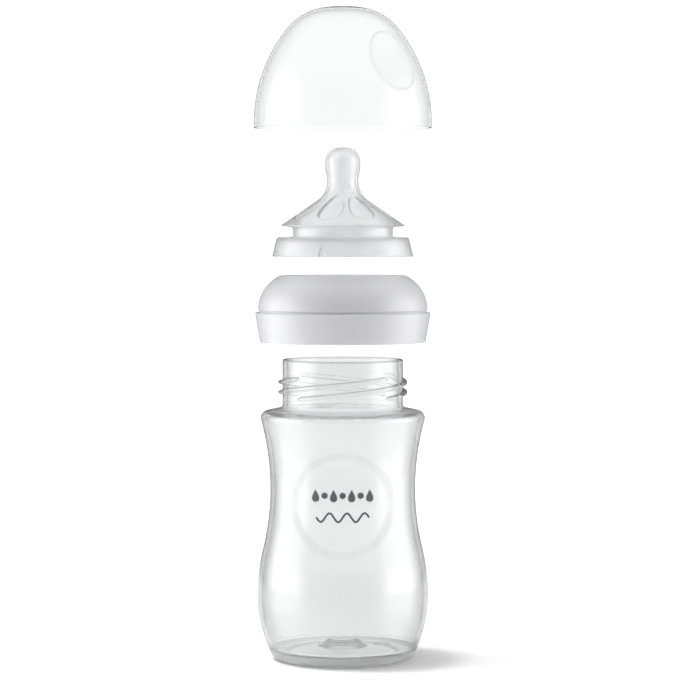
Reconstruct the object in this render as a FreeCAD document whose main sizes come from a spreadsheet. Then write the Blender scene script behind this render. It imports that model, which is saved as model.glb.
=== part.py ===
import FreeCAD, Part
import math
import os
import re

import Sketcher

# Wide-neck baby bottle: bottle, screw ring, silicone teat and dome cap, drawn apart along the
# common axis (+Z). Origin at the centre of the bottle's foot, millimetres, front of the bottle at -Y.

doc = FreeCAD.newDocument("baby_bottle")

DIMENSIONS = [
    # bottle, heights above the foot
    ("belly_radius", 34.5, "widest radius of the body"),
    ("belly_height", 25.4, "height of the widest point"),
    ("low_side_curve", 52.0, "side curvature below the belly"),
    ("high_side_curve", 82.0, "side curvature above the belly"),
    ("waist_radius", 29.25, "narrowest radius of the body"),
    ("waist_height", 69.0, "height of the waist"),
    ("flare_curve", 104.0, "side curvature above the waist"),
    ("flare_top", 96.6, "height where the flare meets the shoulder round"),
    ("shoulder_round", 3.0, "radius of the shoulder corner"),
    ("deck_slope", 12.0, "slope of the shoulder deck, degrees"),
    ("deck_fillet", 1.3, "fillet between deck and neck"),
    ("neck_radius", 24.25, "outer radius of the neck"),
    ("rim_height", 121.0, "height of the drinking rim"),
    ("rim_round", 0.6, "rounding of the rim's edges"),
    ("bottle_wall", 1.8, "wall thickness"),
    ("foot_round", 4.0, "radius of the outer foot corner"),
    ("foot_width", 2.6, "width of the flat standing ring"),
    ("foot_recess", 1.2, "depth of the underside inside the standing ring"),
    ("floor_height", 4.6, "height of the inside floor"),
    ("floor_round", 1.6, "radius of the inside floor corner"),
    ("boss_radius", 8.6, "radius of the moulding boss on the floor"),
    ("boss_top_radius", 6.2, "radius of the boss's flat top"),
    ("boss_height", 3.4, "height of the boss above the floor"),
    ("recess_radius", 19.3, "radius of the round recess in the front"),
    ("recess_height", 64.6, "height of the recess centre"),
    ("recess_depth", 0.4, "depth of the recess"),
    # thread: four starts, right-handed
    ("thread_lead", 16.0, "advance in one turn"),
    ("rib_start", 105.8, "height where each neck rib starts"),
    ("rib_turn", 0.5, "turns spanned by each neck rib"),
    ("rib_width", 1.7, "axial width of a neck rib"),
    ("rib_depth", 1.75, "height of a neck rib off the neck"),
    ("nut_width", 1.5, "axial width of a ring thread at its crest"),
    ("nut_turn", 0.28, "turns spanned by each ring thread"),
    ("nut_lag", 0.06, "turns from the start of a rib to the start of its ring thread"),
    ("nut_crest", 24.6, "radius of the ring thread's crest"),
    ("thread_gap", 0.05, "play between rib and ring thread when tight"),
    # screw ring, heights above its lower edge
    ("band_low_radius", 33.4, "outer radius at the lower edge"),
    ("band_radius", 35.3, "outer radius at the ledge"),
    ("band_height", 12.1, "height of the ledge that carries the cap"),
    ("edge_round", 0.6, "rounding of the ring's edges"),
    ("collar_radius", 34.1, "radius of the collar above the ledge"),
    ("collar_height", 14.6, "height where the collar turns into the dome"),
    ("snap_depth", 0.45, "depth of the snap groove at the collar's foot"),
    ("snap_height", 1.0, "height of the snap groove"),
    ("dome_curve", 15.6, "curvature of the ring's dome"),
    ("ring_top_radius", 25.3, "radius of the flat top"),
    ("ring_height", 26.8, "overall height"),
    ("opening_radius", 20.2, "radius of the opening for the teat"),
    ("lip_thickness", 2.8, "thickness of the lip around the opening"),
    ("clamp_thickness", 1.15, "thickness of the clamping face under the lip"),
    ("clamp_gap", 0.05, "gap that separates the clamping face from the lip"),
    ("cavity_top_radius", 26.9, "inner radius beside the clamping face"),
    ("cavity_radius", 28.8, "inner radius around the teat's skirt"),
    ("bore_radius", 26.8, "inner radius of the threaded sleeve"),
    ("sleeve_top", 14.3, "height of the step above the threaded sleeve"),
    ("sleeve_low", 1.9, "height of the sleeve's lower edge"),
    ("sleeve_wall", 1.8, "wall thickness of the sleeve"),
    ("band_inner_radius", 32.0, "inner radius of the band at the lower edge"),
    ("band_wall", 2.1, "wall thickness of the band at the top of the pocket"),
    ("pocket_top", 10.8, "height of the hollow between sleeve and band"),
    # teat, heights above its skirt's lower edge
    ("skirt_radius", 28.3, "outer radius of the skirt's lower edge"),
    ("flange_radius", 26.5, "outer radius of the clamped flange"),
    ("flange_height", 7.8, "height of the flange's upper face"),
    ("flange_thickness", 1.6, "thickness of the clamped flange"),
    ("skirt_wall", 1.1, "wall thickness of the skirt"),
    ("groove_radius", 20.1, "radius of the groove that holds the ring's lip"),
    ("groove_height", 4.1, "height of the groove"),
    ("disc_radius", 24.8, "radius of the teat's disc"),
    ("disc_edge", 1.05, "thickness of the disc's edge"),
    ("disc_slope", 31.7, "slope of the areola, degrees"),
    ("areola_curve", 10.0, "curvature from areola to nipple"),
    ("nipple_waist", 6.25, "narrowest radius of the nipple"),
    ("nipple_waist_height", 30.5, "height of the nipple's narrowest point"),
    ("bulb_radius", 7.06, "radius of the nipple's bulb"),
    ("bulb_height", 36.8, "height of the bulb's widest point"),
    ("tip_round", 5.6, "radius of the tip's round"),
    ("teat_height", 43.8, "overall height"),
    ("teat_wall", 1.5, "wall thickness"),
    # dome cap, heights above its rim
    ("cap_radius", 35.7, "outer radius at the rim"),
    ("cap_height", 48.2, "overall height"),
    ("cap_wall", 1.0, "wall thickness"),
    ("cap_straight", 2.0, "height of the straight rim"),
    ("cap_side_curve", 60.0, "curvature of the side"),
    ("cap_crown_curve", 22.0, "curvature of the crown"),
    ("dimple_height", 26.5, "height of the finger dimple's centre"),
    ("dimple_azimuth", 43.0, "direction of the dimple, degrees from the front towards +X"),
    ("dimple_curve", 60.0, "curvature of the dimple"),
    ("dimple_depth", 2.7, "depth of the dimple"),
    # places: screwed together, and how far each piece is drawn off
    ("ring_seat", 99.9, "height of the tight ring above the foot"),
    ("cap_seat", 12.15, "height of the seated cap above the ring's lower edge"),
    ("flange_gap", 0.05, "play between teat flange and clamping face"),
    ("ring_lift", 28.0, "lift of the ring off its seat"),
    ("teat_lift", 19.45, "lift of the teat out of the ring"),
    ("cap_lift", 54.4, "lift of the cap off the teat"),
]

sheet = doc.addObject("Spreadsheet::Sheet", "dims")
for row, (alias, size, meaning) in enumerate(DIMENSIONS, start=1):
    sheet.set(f"A{row}", alias)
    sheet.set(f"B{row}", str(size))
    sheet.set(f"C{row}", meaning)
    sheet.setAlias(f"B{row}", alias)
doc.recompute()

ALIASES = {alias for alias, size, meaning in DIMENSIONS}
Z_AXIS = FreeCAD.Vector(0, 0, 1)
STARTS = 4
SIDE_CORNERS = 4  # corners of the body's side, from the belly to the flare's top
THREAD_AZIMUTH = 45.0  # degrees from +X to the start of the first neck rib


def bound(formula):
    """The formula with each dimension's name pointing at the sheet."""
    return re.sub(
        r"[a-z_]+", lambda word: f"dims.{word[0]}" if word[0] in ALIASES else word[0], formula
    )


def value(formula):
    return float(sheet.evalExpression(bound(formula)))


def new_body(label):
    body = doc.addObject("PartDesign::Body", label)
    body.Label = label
    return body


def new_sketch(body, name):
    """A sketch in the body's XZ plane: x is the distance from the axis and y is the height."""
    sketch = body.newObject("Sketcher::SketchObject", name)
    plane = next(f for f in body.Origin.OriginFeatures if f.Role == "XZ_Plane")
    sketch.AttachmentSupport = [(plane, "")]
    sketch.MapMode = "FlatFace"
    return sketch


def arc_between(start, end, radius, side):
    """The short arc from start to end with its centre on the named side of the way there."""
    chord = end - start
    across = FreeCAD.Vector(-chord.y, chord.x, 0).normalize()
    if side == "right":
        across = -across
    reach = math.sqrt(radius**2 - chord.Length**2 / 4)
    centre = start + chord * 0.5 + across * reach
    first, last = (start, end) if side == "left" else (end, start)
    begin = math.atan2(first.y - centre.y, first.x - centre.x)
    finish = math.atan2(last.y - centre.y, last.x - centre.x)
    return Part.ArcOfCircle(Part.Circle(centre, Z_AXIS, radius), begin, finish)


def draw(sketch, corners):
    """A closed outline. Each corner is (radius, height) or (radius, height, curve, side), all of
    them formulas on the sheet; curve and side bend the stretch that leads to the next corner."""
    points = [FreeCAD.Vector(value(corner[0]), value(corner[1]), 0) for corner in corners]
    ends = []
    for number, corner in enumerate(corners):
        start = points[number]
        end = points[(number + 1) % len(points)]
        if len(corner) == 2:
            edge = sketch.addGeometry(Part.LineSegment(start, end), False)
            ends.append((edge, 1, 2))
            continue
        curve, side = corner[2:]
        edge = sketch.addGeometry(arc_between(start, end, value(curve), side), False)
        ends.append((edge, 1, 2) if side == "left" else (edge, 2, 1))
        constrain(sketch, "Radius", (edge, value(curve)), curve)
    for number, corner in enumerate(corners):
        edge, here, there = ends[number]
        before = ends[number - 1]
        sketch.addConstraint(Sketcher.Constraint("Coincident", before[0], before[2], edge, here))
        place(sketch, edge, here, corner)


def place(sketch, edge, end, corner):
    """Ties one end of an edge to its radius and height."""
    kinds = (("DistanceX", -2), ("DistanceY", -1))
    for formula, (kind, axis) in zip(corner[:2], kinds):
        if value(formula) == 0:
            sketch.addConstraint(Sketcher.Constraint("PointOnObject", edge, end, axis))
        else:
            constrain(sketch, kind, (-1, 1, edge, end, value(formula)), formula)


def constrain(sketch, kind, values, formula):
    index = sketch.addConstraint(Sketcher.Constraint(kind, *values))
    sketch.setExpression(f"Constraints[{index}]", bound(formula))


def revolve(body, name, corners):
    """Turns a closed outline around the body's axis."""
    sketch = new_sketch(body, f"{name}_outline")
    draw(sketch, corners)
    turned = body.newObject("PartDesign::Revolution", name)
    turned.Profile = (sketch, [""])
    turned.ReferenceAxis = (sketch, ["V_Axis"])
    turned.Angle = 360
    return turned


def add_thread(body, name, corners, turns):
    """Winds a closed outline up the thread's helix, once for each start."""
    sketch = new_sketch(body, f"{name}_outline")
    draw(sketch, corners)
    wound = body.newObject("PartDesign::AdditiveHelix", name)
    wound.Profile = (sketch, [""])
    wound.ReferenceAxis = (sketch, ["V_Axis"])
    wound.Mode = "pitch-turns-angle"
    wound.setExpression("Pitch", bound("thread_lead"))
    wound.setExpression("Turns", bound(turns))
    doc.recompute()
    around = body.newObject("PartDesign::PolarPattern", f"{name}_starts")
    around.Originals = [wound]
    around.Axis = (sketch, ["V_Axis"])
    around.Angle = 360
    around.Occurrences = STARTS
    body.Tip = around


def put(thing, height, turn=0.0):
    """Places a piece at a height above the foot, turned about the axis."""
    thing.Placement = FreeCAD.Placement(FreeCAD.Vector(0, 0, 0), FreeCAD.Rotation(Z_AXIS, turn))
    thing.setExpression(".Placement.Base.z", bound(height))


# Height of the teat's skirt above the ring's lower edge when its flange is clamped.
TEAT_SEAT = "(ring_height - lip_thickness - clamp_thickness - flange_gap - flange_height)"
TEAT_REST = f"ring_seat + ring_lift + {TEAT_SEAT} + teat_lift"

# The waist curve follows from the belly and waist points and the curvature above the belly.
SIDE_REACH = "((waist_height - belly_height)^2 + (belly_radius - waist_radius)^2)"
SIDE_SUM = f"({SIDE_REACH} / (2 * (belly_radius - waist_radius)))"
FLARE_RISE = "(flare_top - waist_height)"
FLARE_RUN = f"sqrt(flare_curve^2 - {FLARE_RISE}^2)"
# A corner of radius round that touches both the low side and a floor at the given height.
CORNER_RISE = "(belly_height - {floor} - {round})"
CORNER_RUN = "sqrt((low_side_curve - {inset} - {round})^2 - " + CORNER_RISE + "^2)"


def low_corner(inset, floor, round_name):
    """Where a rounded corner leaves the floor and where it meets the low side."""
    names = {"inset": inset, "floor": floor, "round": round_name}
    rise = CORNER_RISE.format(**names)
    run = CORNER_RUN.format(**names)
    centre = "(belly_radius - low_side_curve)"
    share = f"((low_side_curve - {inset}) / (low_side_curve - {inset} - {round_name}))"
    on_floor = (f"{centre} + {run}", floor)
    on_side = (f"{centre} + {run} * {share}", f"belly_height - {rise} * {share}")
    return on_floor, on_side


def wall_corners(inset):
    """The bottle's wall from the belly up to the neck, set in from the outside by inset."""
    side_share = f"(high_side_curve / {SIDE_SUM})"
    bend_radius = f"(belly_radius - {side_share} * (belly_radius - waist_radius))"
    bend_height = f"(belly_height + {side_share} * (waist_height - belly_height))"
    # unit normal of the side at the bend and of the flare at its top, both pointing at the axis
    waist_curve = f"({SIDE_SUM} - high_side_curve)"
    bend_in = f"((waist_radius + {waist_curve} - {bend_radius}) / {waist_curve})"
    bend_down = f"((waist_height - {bend_height}) / {waist_curve})"
    flare_in = f"({FLARE_RUN} / flare_curve)"
    flare_up = f"({FLARE_RISE} / flare_curve)"
    flare_radius = f"(waist_radius + flare_curve - {FLARE_RUN})"
    round_radius = f"({flare_radius} - shoulder_round * {flare_in})"
    round_height = f"(flare_top + shoulder_round * {flare_up})"
    deck_radius = f"({round_radius} + (shoulder_round - {inset}) * sin(deck_slope * 1 deg))"
    deck_height = f"({round_height} + (shoulder_round - {inset}) * cos(deck_slope * 1 deg))"
    fillet_radius = "(neck_radius + deck_fillet)"
    fillet_height = (
        f"({round_height} + (shoulder_round + deck_fillet - ({fillet_radius} - {round_radius})"
        " * sin(deck_slope * 1 deg)) / cos(deck_slope * 1 deg))"
    )
    reach = f"(deck_fillet + {inset})"
    return [
        (f"belly_radius - {inset}", "belly_height", f"high_side_curve - {inset}", "left"),
        (
            f"{bend_radius} - {inset} * {bend_in}",
            f"{bend_height} - {inset} * {bend_down}",
            f"{waist_curve} + {inset}",
            "right",
        ),
        (f"waist_radius - {inset}", "waist_height", f"flare_curve + {inset}", "right"),
        (
            f"{flare_radius} - {inset} * {flare_in}",
            f"flare_top + {inset} * {flare_up}",
            f"shoulder_round - {inset}",
            "left",
        ),
        (deck_radius, deck_height),
        (
            f"{fillet_radius} - {reach} * sin(deck_slope * 1 deg)",
            f"{fillet_height} - {reach} * cos(deck_slope * 1 deg)",
            reach,
            "right",
        ),
        (f"neck_radius - {inset}", fillet_height),
    ]


def backwards(corners):
    """The same stretch of outline walked the other way."""
    walked = []
    for number in range(len(corners) - 1, -1, -1):
        bend = corners[number - 1][2:] if number else ()
        if bend:
            bend = (bend[0], "right" if bend[1] == "left" else "left")
        walked.append((*corners[number][:2], *bend))
    return walked


def open_ended(corners):
    """The same stretch with nothing bending away from its last corner."""
    return [*corners[:-1], corners[-1][:2]]


def bottle_outline():
    foot, side = low_corner("0", "0", "foot_round")
    floor, inner_side = low_corner("bottle_wall", "floor_height", "floor_round")
    outside = [
        ("0", "foot_recess"),
        (f"{foot[0]} - foot_width - foot_recess", "foot_recess"),
        (f"{foot[0]} - foot_width", "0"),
        (*foot, "foot_round", "left"),
        (*side, "low_side_curve", "left"),
        *wall_corners("0"),
        ("neck_radius", "rim_height - rim_round", "rim_round", "left"),
        ("neck_radius - rim_round", "rim_height"),
    ]
    inside = [
        (*floor, "floor_round", "left"),
        (*inner_side, "low_side_curve - bottle_wall", "left"),
        *wall_corners("bottle_wall"),
        ("neck_radius - bottle_wall", "rim_height - rim_round", "rim_round", "right"),
        ("neck_radius - bottle_wall + rim_round", "rim_height"),
    ]
    boss = [
        ("boss_radius", "floor_height"),
        ("boss_top_radius", "floor_height + boss_height"),
        ("0", "floor_height + boss_height"),
    ]
    return outside + backwards(inside) + boss


def rib_outline():
    """A neck rib: rooted inside the neck's wall, with a half-round crest."""
    half = "rib_width / 2"
    root = "neck_radius - bottle_wall / 2"
    crest = "neck_radius + rib_depth - rib_width / 2"
    return [
        (root, f"rib_start - {half}"),
        (crest, f"rib_start - {half}", half, "left"),
        ("neck_radius + rib_depth", "rib_start", half, "left"),
        (crest, f"rib_start + {half}"),
        (root, f"rib_start + {half}"),
    ]


def make_bottle():
    blank = new_body("bottle_blank")
    revolve(blank, "bottle_shell", bottle_outline())
    add_thread(blank, "neck_rib", rib_outline(), "rib_turn")
    put(blank, "0", THREAD_AZIMUTH)

    # The recess follows the wall: a skin of the body, cut where a round plug passes through it.
    skin = new_body("recess_skin")
    over = wall_corners("-recess_depth")[:SIDE_CORNERS]
    under = wall_corners("recess_depth")[:SIDE_CORNERS]
    revolve(skin, "recess_skin_turn", open_ended(over) + backwards(open_ended(under)))

    plug = doc.addObject("Part::Cylinder", "recess_plug")
    plug.setExpression("Radius", bound("recess_radius"))
    plug.setExpression("Height", bound("belly_radius * 2"))
    plug.Placement = FreeCAD.Placement(
        FreeCAD.Vector(0, 0, value("recess_height")), FreeCAD.Rotation(FreeCAD.Vector(1, 0, 0), 90)
    )
    plug.setExpression(".Placement.Base.z", bound("recess_height"))

    patch = doc.addObject("Part::Common", "recess_patch")
    patch.Base = skin
    patch.Tool = plug
    bottle = doc.addObject("Part::Cut", "bottle")
    bottle.Base = blank
    bottle.Tool = patch
    return bottle


def ring_outline():
    low_lean = "edge_round * (band_radius - band_low_radius) / band_height"
    return [
        ("band_inner_radius", "0"),
        ("band_low_radius - edge_round", "0", "edge_round", "left"),
        (f"band_low_radius + {low_lean}", "edge_round"),
        ("band_radius", "band_height - edge_round", "edge_round", "left"),
        ("band_radius - edge_round", "band_height"),
        ("collar_radius - snap_depth", "band_height"),
        ("collar_radius - snap_depth", "band_height + snap_height - snap_depth"),
        ("collar_radius", "band_height + snap_height"),
        ("collar_radius", "collar_height", "dome_curve", "left"),
        ("ring_top_radius", "ring_height"),
        ("opening_radius + edge_round", "ring_height", "edge_round", "left"),
        ("opening_radius", "ring_height - edge_round"),
        ("opening_radius", "ring_height - lip_thickness"),
        ("cavity_top_radius", "ring_height - lip_thickness"),
        ("cavity_top_radius", "ring_height - lip_thickness - clamp_thickness"),
        ("cavity_radius", "sleeve_top + cavity_radius - bore_radius"),
        ("cavity_radius", "sleeve_top"),
        ("bore_radius", "sleeve_top - cavity_radius + bore_radius"),
        ("bore_radius", "sleeve_low"),
        ("bore_radius + sleeve_wall", "sleeve_low"),
        ("bore_radius + sleeve_wall", "pocket_top"),
        ("band_radius - band_wall", "pocket_top"),
    ]


def ring_thread_outline():
    """A ring thread: rooted in the sleeve, narrowing to its crest, just under its neck rib."""
    middle = (
        "(rib_start + nut_lag * thread_lead - ring_seat"
        " - (rib_width + nut_width) / 2 - thread_gap)"
    )
    root = "bore_radius + sleeve_wall / 3"
    return [
        ("nut_crest", f"{middle} - nut_width / 2"),
        (root, f"{middle} - nut_width / 2 - thread_gap * 4"),
        (root, f"{middle} + nut_width / 2"),
        ("nut_crest", f"{middle} + nut_width / 2"),
    ]


def make_ring():
    ring = new_body("screw_ring")
    revolve(ring, "ring_shell", ring_outline())
    add_thread(ring, "ring_thread", ring_thread_outline(), "nut_turn")
    # Drawn off along the thread, the ring has turned by its lift over the lead.
    turned = 360 * (value("nut_lag") + value("ring_lift / thread_lead"))
    put(ring, "ring_seat + ring_lift", THREAD_AZIMUTH + turned)

    clamp = new_body("ring_clamp_face")
    top = "ring_height - lip_thickness - clamp_gap"
    bottom = "ring_height - lip_thickness - clamp_thickness"
    inner = "opening_radius + clamp_gap * 4"
    outer = "cavity_top_radius - clamp_gap * 4"
    revolve(clamp, "clamp_disc", [(inner, bottom), (outer, bottom), (outer, top), (inner, top)])
    put(clamp, "ring_seat + ring_lift")
    return ring, clamp


def teat_outline():
    rise = "tan(disc_slope * 1 deg)"
    disc_top = "flange_height + groove_height + disc_edge"
    # the areola's straight slope ends where the curve of radius areola_curve touches it
    bend_x = "(nipple_waist + areola_curve)"
    areola = (
        f"{bend_x} - areola_curve * sin(disc_slope * 1 deg)",
        "nipple_waist_height - areola_curve * cos(disc_slope * 1 deg)",
    )
    swell = "(bulb_radius - nipple_waist)"
    swell_rise = "(bulb_height - nipple_waist_height)"
    swell_sum = f"(({swell_rise}^2 + {swell}^2) / (2 * {swell}))"
    share = f"(areola_curve / {swell_sum})"
    swell_bend = (
        f"nipple_waist + {share} * {swell}",
        f"nipple_waist_height + {share} * {swell_rise}",
    )
    outside = [
        ("skirt_radius - skirt_wall", "0"),
        ("skirt_radius", "0"),
        ("flange_radius", "flange_height"),
        ("groove_radius", "flange_height"),
        ("groove_radius", "flange_height + groove_height"),
        ("disc_radius", "flange_height + groove_height"),
        ("disc_radius", f"{disc_top} - teat_wall / 3"),
        (areola[0], areola[1], "areola_curve", "right"),
        ("nipple_waist", "nipple_waist_height", "areola_curve", "right"),
        (*swell_bend, f"{swell_sum} - areola_curve", "left"),
        ("bulb_radius", "bulb_height"),
        ("bulb_radius", "teat_height - tip_round", "tip_round", "left"),
        ("bulb_radius - tip_round", "teat_height"),
        ("0", "teat_height"),
    ]
    inside = [
        ("0", "teat_height - teat_wall"),
        ("bulb_radius - tip_round", "teat_height - teat_wall", "tip_round - teat_wall", "right"),
        ("bulb_radius - teat_wall", "teat_height - tip_round"),
        ("nipple_waist - teat_wall", "nipple_waist_height", "areola_curve + teat_wall", "left"),
        (
            f"{bend_x} - (areola_curve + teat_wall) * sin(disc_slope * 1 deg)",
            "nipple_waist_height - (areola_curve + teat_wall) * cos(disc_slope * 1 deg)",
        ),
        (
            "groove_radius - teat_wall",
            "nipple_waist_height - (areola_curve + teat_wall) * cos(disc_slope * 1 deg)"
            f" - (groove_radius - teat_wall - {bend_x} + (areola_curve + teat_wall)"
            f" * sin(disc_slope * 1 deg)) * {rise}",
        ),
        ("groove_radius - teat_wall", "flange_height - flange_thickness"),
        ("flange_radius - skirt_wall", "flange_height - flange_thickness"),
    ]
    return outside + inside


def make_teat():
    teat = new_body("teat")
    revolve(teat, "teat_shell", teat_outline())
    put(teat, TEAT_REST)
    return teat


def cap_outline(inset):
    """The solid dome whose skin lies inset inside the cap's outside."""
    side_centre = "(cap_radius - cap_side_curve)"
    crown_rise = "(cap_height - cap_crown_curve - cap_straight)"
    crown_run = f"sqrt((cap_side_curve - cap_crown_curve)^2 - {crown_rise}^2)"
    share = f"((cap_side_curve - {inset}) / (cap_side_curve - cap_crown_curve))"
    return [
        ("0", "0"),
        (f"cap_radius - {inset}", "0"),
        (f"cap_radius - {inset}", "cap_straight", f"cap_side_curve - {inset}", "left"),
        (
            f"{side_centre} + {crown_run} * {share}",
            f"cap_straight + {crown_rise} * {share}",
            f"cap_crown_curve - {inset}",
            "left",
        ),
        (f"{side_centre} + {crown_run}", f"cap_height - {inset}"),
        ("0", f"cap_height - {inset}"),
    ]


def dimpled_dome(name, inset):
    """The dome with the finger dimple pressed into it."""
    dome = new_body(f"{name}_dome")
    revolve(dome, f"{name}_turn", cap_outline(inset))
    ball = doc.addObject("Part::Sphere", f"{name}_ball")
    ball.setExpression("Radius", bound(f"dimple_curve + {inset}"))
    rise = "(dimple_height - cap_straight)"
    run = f"sqrt(cap_side_curve^2 - {rise}^2)"
    off = "((cap_side_curve + dimple_curve - dimple_depth) / cap_side_curve)"
    reach = f"(cap_radius - cap_side_curve + {run} * {off})"
    ball.setExpression(".Placement.Base.x", bound(f"{reach} * sin(dimple_azimuth * 1 deg)"))
    ball.setExpression(".Placement.Base.y", bound(f"-{reach} * cos(dimple_azimuth * 1 deg)"))
    ball.setExpression(".Placement.Base.z", bound(f"cap_straight + {rise} * {off}"))
    dimpled = doc.addObject("Part::Cut", f"{name}_dimpled")
    dimpled.Base = dome
    dimpled.Tool = ball
    return dimpled


def make_cap():
    cap = doc.addObject("Part::Cut", "dome_cap")
    cap.Base = dimpled_dome("cap_outside", "0")
    cap.Tool = dimpled_dome("cap_inside", "cap_wall")
    put(cap, f"{TEAT_REST} + cap_seat - {TEAT_SEAT} + cap_lift")
    return cap


pieces = [make_bottle(), *make_ring(), make_teat(), make_cap()]
doc.recompute()

for thing in doc.Objects:
    if "Invalid" in thing.State or "Error" in thing.State:
        raise RuntimeError(f"{thing.Name} failed: {thing.State}")
os.makedirs("parts", exist_ok=True)
for piece in pieces:
    if piece.Shape.isNull() or not piece.Shape.isValid() or len(piece.Shape.Solids) != 1:
        raise RuntimeError(f"{piece.Label} has no sound single solid")
for piece in pieces:
    piece.Shape.exportStep(f"parts/{piece.Label}.step")
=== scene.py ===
import math

import bmesh
import bpy
import numpy as np
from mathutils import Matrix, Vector


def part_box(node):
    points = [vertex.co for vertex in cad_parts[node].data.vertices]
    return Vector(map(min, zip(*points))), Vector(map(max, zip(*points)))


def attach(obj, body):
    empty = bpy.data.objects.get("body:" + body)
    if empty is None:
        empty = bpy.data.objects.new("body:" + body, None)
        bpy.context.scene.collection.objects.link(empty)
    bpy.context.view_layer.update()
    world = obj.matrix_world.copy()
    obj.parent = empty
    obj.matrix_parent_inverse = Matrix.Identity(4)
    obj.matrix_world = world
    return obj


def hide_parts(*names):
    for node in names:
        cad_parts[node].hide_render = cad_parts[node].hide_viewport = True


# A wide-neck baby bottle drawn apart along its axis. The screw ring comes from the frame; the bottle,
# teat and cap are rebuilt here with the soft detail their mouldings have. Sizes below are in
# millimetres, like the design; MM turns them into metres.

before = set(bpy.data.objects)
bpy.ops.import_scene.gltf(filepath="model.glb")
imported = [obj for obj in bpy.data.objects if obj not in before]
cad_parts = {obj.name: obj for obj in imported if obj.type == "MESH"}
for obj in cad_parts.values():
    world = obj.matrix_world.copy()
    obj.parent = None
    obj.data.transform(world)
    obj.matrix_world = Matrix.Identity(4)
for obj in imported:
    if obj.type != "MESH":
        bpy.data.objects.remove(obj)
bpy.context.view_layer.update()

MM = 0.001
SEGMENTS = 512  # steps around the axis
SLACK = 0.1  # how near a point has to be to a surface to belong to it


# ---------------------------------------------------------------- outlines and turned meshes


def arc_points(start, end, radius, side, step):
    """Points on the short arc from start to end, with its centre on the named side of the way."""
    start, end = np.array(start, float), np.array(end, float)
    chord = end - start
    length = np.linalg.norm(chord)
    across = np.array([-chord[1], chord[0]]) / length
    if side == "right":
        across = -across
    centre = (start + end) / 2 + across * math.sqrt(radius**2 - length**2 / 4)
    first = math.atan2(*(start - centre)[::-1])
    sweep = 2 * math.asin(length / 2 / radius) * (1 if side == "left" else -1)
    count = max(2, math.ceil(abs(sweep) * radius / step))
    angles = first + sweep * np.arange(count) / count
    return centre + radius * np.stack([np.cos(angles), np.sin(angles)], axis=1)


def line_points(start, end, step):
    """Points on the line from start to end, without the end."""
    start, end = np.array(start, float), np.array(end, float)
    count = max(1, math.ceil(np.linalg.norm(end - start) / step))
    return start + (end - start) * (np.arange(count) / count)[:, None]


def trace(corners, step):
    """The points along an open outline. A corner is (radius, height) or, where the stretch after it
    is an arc, (radius, height, curve, side). The last corner is kept as it is."""
    runs = []
    for here, there in zip(corners, corners[1:]):
        if len(here) == 2:
            runs.append(line_points(here, there[:2], step))
        else:
            runs.append(arc_points(here[:2], there[:2], here[2], here[3], step))
    runs.append(np.array([corners[-1][:2]], float))
    return np.concatenate(runs)


def backwards(corners):
    """The same corners walked the other way."""
    walked = []
    for number in range(len(corners) - 1, -1, -1):
        bend = corners[number - 1][2:] if number else ()
        if bend:
            bend = (bend[0], "right" if bend[1] == "left" else "left")
        walked.append((*corners[number][:2], *bend))
    return walked


def new_piece(name, vertices, faces, sharp=50.0, shade=None):
    """A smooth-shaded object from points in millimetres, with outward faces. shade is painted shade,
    point by point: how much it darkens the material's colour."""
    mesh = bpy.data.meshes.new(name)
    mesh.from_pydata((np.array(vertices) * MM).tolist(), [], faces)
    if shade is not None:
        mesh.attributes.new("shade", "FLOAT", "POINT").data.foreach_set("value", shade)
    work = bmesh.new()
    work.from_mesh(mesh)
    bmesh.ops.remove_doubles(work, verts=work.verts, dist=1e-7)
    bmesh.ops.recalc_face_normals(work, faces=work.faces)
    work.to_mesh(mesh)
    work.free()
    mesh.shade_smooth()
    mesh.set_sharp_from_angle(angle=math.radians(sharp))
    piece = bpy.data.objects.new(name, mesh)
    bpy.context.scene.collection.objects.link(piece)
    return piece


def turned(name, outline, lift, shape):
    """Turns an outline that starts and ends on the axis into a closed skin, lifted to its place.
    shape(radius, height, azimuth) moves the points of the grid and tells the painted shade of their
    creases."""
    inner = outline[1:-1]
    azimuth = np.arange(SEGMENTS) * 2 * math.pi / SEGMENTS
    radius = np.repeat(inner[:, :1], SEGMENTS, axis=1)
    height = np.repeat(inner[:, 1:], SEGMENTS, axis=1)
    around = np.repeat(azimuth[None, :], len(inner), axis=0)
    radius, height, around, shade = shape(radius, height, around)
    grid = np.stack([radius * np.sin(around), -radius * np.cos(around), height + lift], axis=2)
    vertices = grid.reshape(-1, 3).tolist()
    rows = len(inner)
    faces = []
    for row in range(rows - 1):
        for step in range(SEGMENTS):
            after = (step + 1) % SEGMENTS
            low, high = row * SEGMENTS, (row + 1) * SEGMENTS
            faces.append((low + step, low + after, high + after, high + step))
    for end, row in ((outline[0], 0), (outline[-1], rows - 1)):
        pole = len(vertices)
        vertices.append([0.0, 0.0, end[1] + lift])
        for step in range(SEGMENTS):
            after = (step + 1) % SEGMENTS
            faces.append((pole, row * SEGMENTS + step, row * SEGMENTS + after))
    return new_piece(name, vertices, faces, shade=np.append(shade.ravel(), [0.0, 0.0]))


def smooth_step(low, high, x):
    """A soft step from 0 at low to 1 at high."""
    t = np.clip((x - low) / (high - low), 0, 1)
    return t * t * (3 - 2 * t)


def wrapped(angle):
    """The angle brought between -pi and pi."""
    return (angle + math.pi) % (2 * math.pi) - math.pi


# ---------------------------------------------------------------- bottle

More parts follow.
